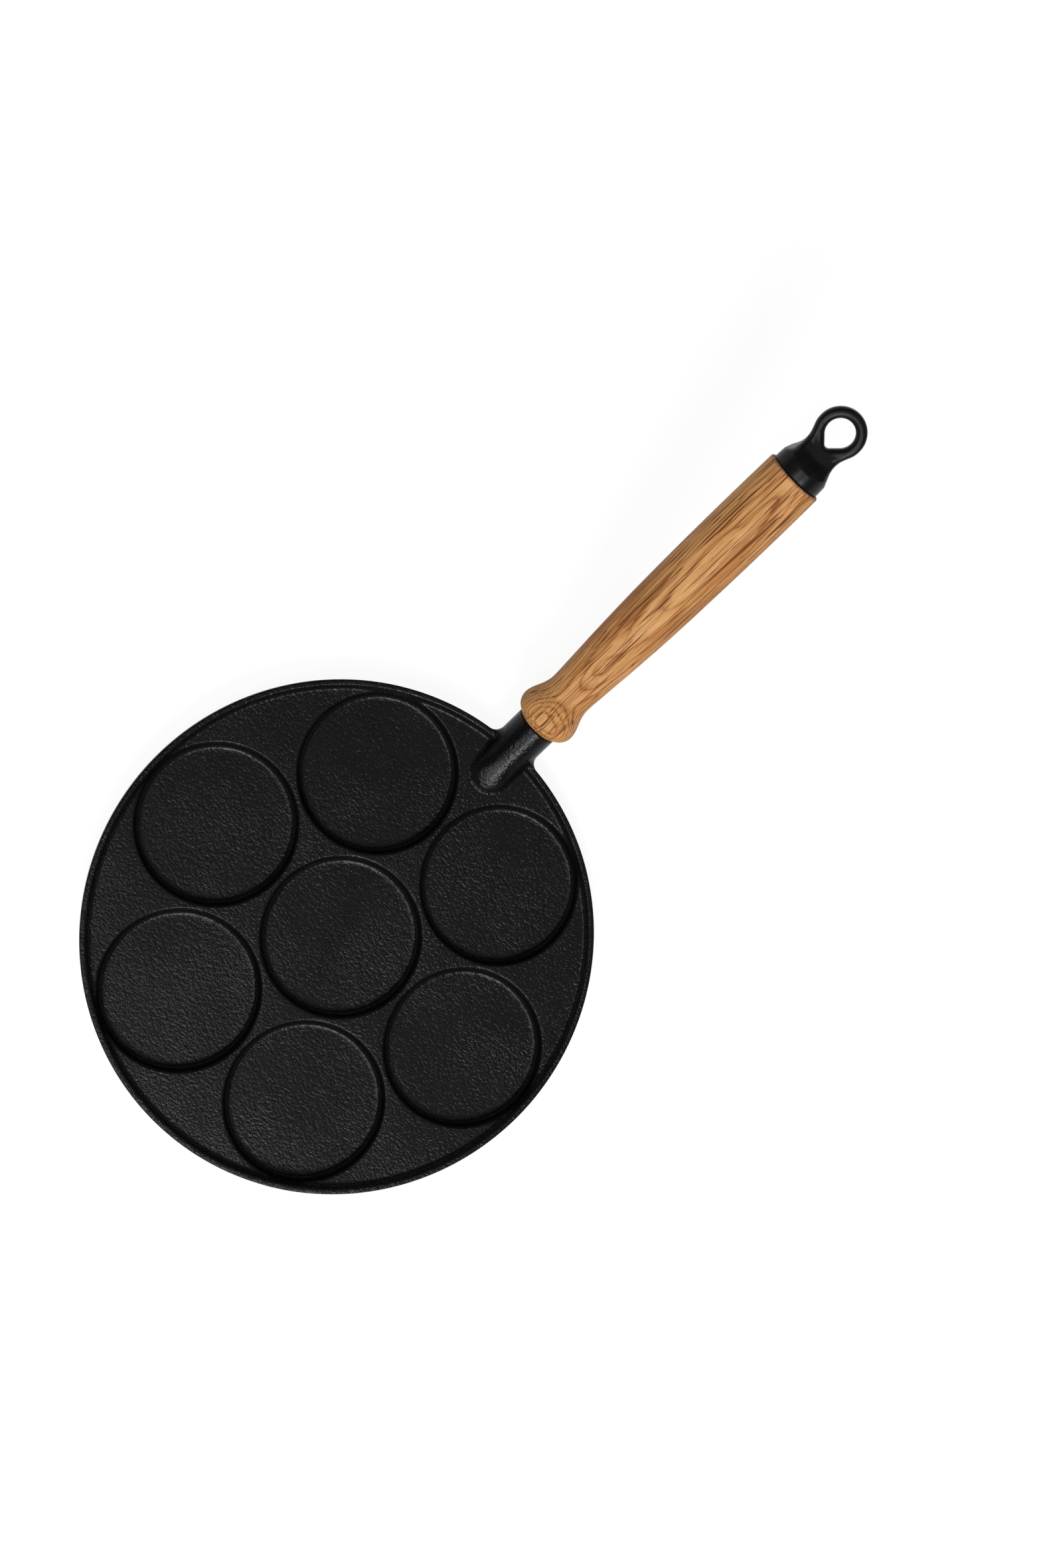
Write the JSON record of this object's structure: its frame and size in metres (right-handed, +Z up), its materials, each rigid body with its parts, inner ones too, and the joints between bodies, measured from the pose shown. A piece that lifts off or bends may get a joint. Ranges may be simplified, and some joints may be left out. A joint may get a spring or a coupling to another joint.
{
  "type": "pancake pan",
  "caption": "Round cast iron pan with shallow round recesses for small pancakes, a slanted turned wood grip and a cast hanging loop.",
  "frame": {"origin": "middle of the underside of the centre cup, on the plane that the pan stands on", "axes": "+Z up out of the recesses, +X from the pan towards the handle, +Y to the left seen from the pan along the handle"},
  "size_m": [0.4367, 0.236, 0.0998],
  "materials": {
    "pan_iron": "seasoned black iron, fine sandy cast skin, satin sheen",
    "loop_iron": "seasoned black iron, smoother than the plate",
    "grip_wood": "turned and oiled oak, open grain along the handle",
    "rod_steel": "plain rolled steel"
  },
  "bodies": {
    "root": {"pan_casting": "pan_iron", "wood_grip": "grip_wood", "tie_rod": "rod_steel", "hanging_loop": "loop_iron"}
  },
  "joints": []
}
